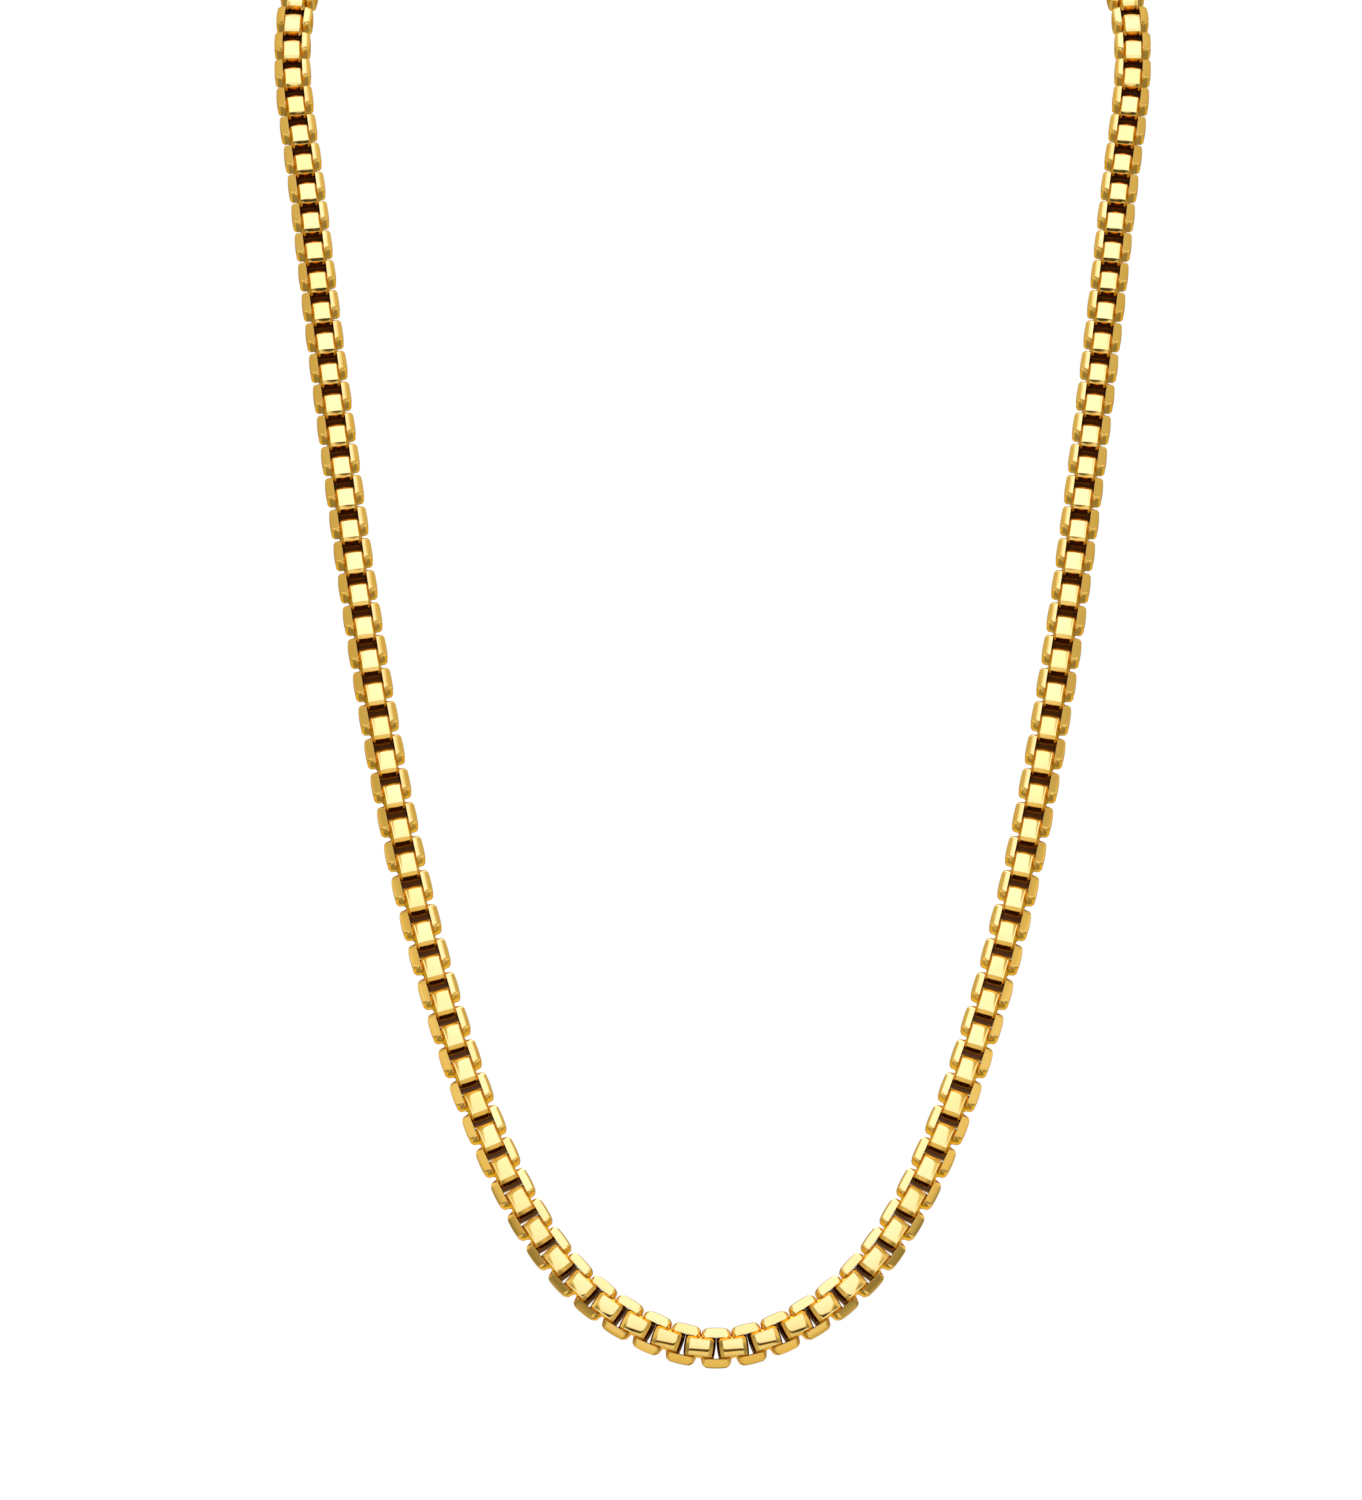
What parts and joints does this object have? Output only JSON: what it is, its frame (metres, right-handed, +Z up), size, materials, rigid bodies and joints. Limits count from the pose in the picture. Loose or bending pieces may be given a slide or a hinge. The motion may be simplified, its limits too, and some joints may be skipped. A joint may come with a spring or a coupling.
{
  "type": "box chain necklace",
  "caption": "Box chain necklace: square links folded from flat strip, hooked through one another, each turned a quarter turn to the next, closed at the nape by a plain clasp.",
  "frame": {"origin": "middle of the clasp at the nape, where the necklace hangs on the neck", "axes": "+Z up, -Y towards the front of the wearer, +X to the viewer's right as seen from the front"},
  "size_m": [0.1056, 0.1333, 0.1779],
  "materials": {
    "links": "polished yellow gold plating",
    "fittings": "polished yellow gold plating"
  },
  "bodies": {
    "root": {"chain_left": "links", "chain_right": "links", "clasp": "fittings", "clasp_ring": "fittings", "catch_ring": "fittings"}
  },
  "joints": []
}
